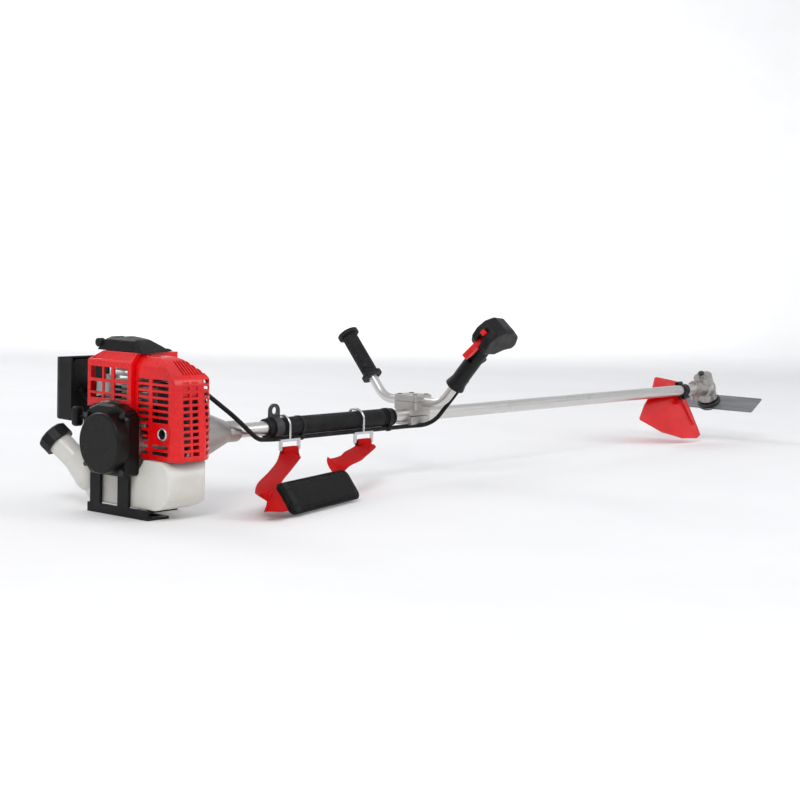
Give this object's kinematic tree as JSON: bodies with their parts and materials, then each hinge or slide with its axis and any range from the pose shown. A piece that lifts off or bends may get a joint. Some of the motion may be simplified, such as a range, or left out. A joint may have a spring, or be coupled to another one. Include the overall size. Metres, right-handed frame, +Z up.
{
  "type": "brush cutter",
  "caption": "Petrol brush cutter with a two-stroke engine, straight shaft, two-arm handlebar, throttle grip, harness, guard and a flat steel blade.",
  "frame": {"origin": "on the floor under the middle of the tank stand", "axes": "+X forward along the shaft, +Y to the operator's left, +Z up"},
  "size_m": [1.9142, 0.4112, 0.3118],
  "materials": {
    "red_plastic": "glossy moulded red plastic",
    "guard_red": "glossy moulded red plastic",
    "black_plastic": "satin moulded black plastic",
    "starter_black": "semi-gloss black plastic",
    "white_plastic": "translucent blow-moulded off-white plastic",
    "clear_plastic": "clear silicone",
    "black_rubber": "matt black rubber",
    "grey_foam": "open-cell foam",
    "cast_aluminium": "as-cast aluminium",
    "tube_aluminium": "satin drawn aluminium",
    "zinc": "die-cast zinc",
    "bright_steel": "plated steel",
    "blade_steel": "ground sheet steel",
    "dark_steel": "black coated steel",
    "brass": "sintered bronze",
    "red_webbing": "woven polyester webbing",
    "black_fabric": "padded nylon"
  },
  "bodies": {
    "frame": {"starter_housing": "starter_black", "crankcase_rear": "cast_aluminium", "crankcase_front": "cast_aluminium", "ball_bearings": "bright_steel", "connecting_rod": "bright_steel", "piston": "cast_aluminium", "cylinder": "cast_aluminium", "spark_plug": "bright_steel", "plug_boot": "black_rubber", "ignition_coil": "black_plastic", "clutch_housing": "cast_aluminium", "muffler": "dark_steel", "muffler_cover": "red_plastic", "cylinder_cover": "red_plastic", "top_cover": "black_plastic", "intake_manifold": "black_plastic", "carburettor": "zinc", "filter_base": "black_plastic", "filter_foam": "grey_foam", "fuel_tank": "white_plastic", "fuel_lines": "black_rubber", "tank_stand": "black_plastic", "shaft_tube": "tube_aluminium", "shaft_bushings": "brass", "grip_sleeve": "black_rubber", "hanger_bracket": "dark_steel", "clamps": "black_plastic", "handle_bracket": "cast_aluminium", "bracket_cap": "cast_aluminium", "handlebars": "tube_aluminium", "left_grip": "black_rubber", "control_shell_inner": "black_plastic", "control_shell_outer": "black_plastic", "throttle_cable": "black_rubber", "guard": "guard_red", "gearbox_housing": "cast_aluminium", "screws": "bright_steel"},
    "crank": {"crankshaft": "bright_steel", "flywheel": "cast_aluminium", "clutch_shoes": "dark_steel"},
    "drive": {"clutch_drum": "dark_steel", "drive_shaft": "bright_steel"},
    "cutter": {"output_shaft": "bright_steel", "blade_fixings": "dark_steel", "blade": "blade_steel", "blade_cup": "dark_steel"},
    "trigger": {"throttle_trigger": "red_plastic"},
    "lockout": {"lockout_lever": "red_plastic"},
    "switch": {"stop_switch": "red_plastic"},
    "carb_lever": {"throttle_lever": "bright_steel"},
    "choke": {"choke_lever": "black_plastic"},
    "primer": {"primer_bulb": "clear_plastic"},
    "cap": {"fuel_cap": "black_plastic"},
    "air_cover": {"filter_cover": "black_plastic"},
    "air_knob": {"filter_knob": "black_plastic"},
    "starter_grip": {"starter_handle": "black_plastic"},
    "reel": {"starter_reel": "black_plastic"},
    "harness": {"harness_hooks": "bright_steel", "harness_straps": "red_webbing", "shoulder_pad": "black_fabric"}
  },
  "joints": [
    {"name": "crank_spin", "type": "hinge", "parent": "frame", "child": "crank", "pos_m": [0, 0, 0.118], "axis": [1, 0, 0], "continuous": true},
    {"name": "shaft_spin", "type": "hinge", "parent": "frame", "child": "drive", "pos_m": [0.1, 0, 0.118], "axis": [1, 0, 0], "continuous": true},
    {"name": "blade_spin", "type": "hinge", "parent": "frame", "child": "cutter", "pos_m": [1.748, 0, 0.118], "axis": [0.5, 0, -0.866], "continuous": true},
    {"name": "throttle_squeeze", "type": "hinge", "parent": "frame", "child": "trigger", "pos_m": [0.66, -0.17285, 0.26757], "axis": [0, 0.766, 0.6428], "range_deg": [0, 16], "stiffness_Nm_per_rad": 0.15, "springref_deg": -14.32},
    {"name": "lockout_press", "type": "hinge", "parent": "frame", "child": "lockout", "pos_m": [0.636, -0.17285, 0.26757], "axis": [0, -0.766, -0.6428], "range_deg": [0, 12], "stiffness_Nm_per_rad": 0.15, "springref_deg": -14.32},
    {"name": "stop_switch_slide", "type": "slide", "parent": "frame", "child": "switch", "axis": [0, -0.6428, 0.766], "range_m": [0, 0.006]},
    {"name": "carb_lever_turn", "type": "hinge", "parent": "frame", "child": "carb_lever", "pos_m": [-0.02, 0.084, 0.19], "axis": [0, 0, 1], "range_deg": [0, 64]},
    {"name": "choke_turn", "type": "hinge", "parent": "frame", "child": "choke", "pos_m": [-0.046, 0.104, 0.186], "axis": [0, 1, 0], "range_deg": [0, 60]},
    {"name": "primer_press", "type": "slide", "parent": "frame", "child": "primer", "axis": [0, 0, 1], "range_m": [0, 0.0025], "stiffness_N_per_m": 400, "springref_m": -0.001},
    {"name": "fuel_cap_turn", "type": "hinge", "parent": "frame", "child": "cap", "pos_m": [-0.07743, 0.14382, 0.10206], "axis": [-0.2699, 0.7197, 0.6397], "range_deg": [0, 360]},
    {"name": "air_cover_pull", "type": "slide", "parent": "frame", "child": "air_cover", "axis": [0, 1, 0], "range_m": [0, 0.05]},
    {"name": "air_knob_turn", "type": "hinge", "parent": "air_cover", "child": "air_knob", "pos_m": [-0.02, 0.18, 0.22], "axis": [0, 1, 0], "range_deg": [0, 360]},
    {"name": "starter_pull", "type": "slide", "parent": "frame", "child": "starter_grip", "axis": [0, 1, 0], "range_m": [0, 0.6]},
    {"name": "reel_turn", "type": "hinge", "parent": "frame", "child": "reel", "pos_m": [-0.091, 0, 0.118], "axis": [-1, 0, 0], "range_deg": [0, 1045]},
    {"name": "harness_swing", "type": "hinge", "parent": "frame", "child": "harness", "pos_m": [0.39, 0, 0.118], "axis": [-1, 0, 0], "range_deg": [0, 100]}
  ],
  "couplings": [
    {"joint": "blade_spin", "follows": "shaft_spin", "ratio": -0.75},
    {"joint": "carb_lever_turn", "follows": "throttle_squeeze", "ratio": 4},
    {"joint": "reel_turn", "follows": "starter_pull", "rad_per_m": 30.303}
  ]
}
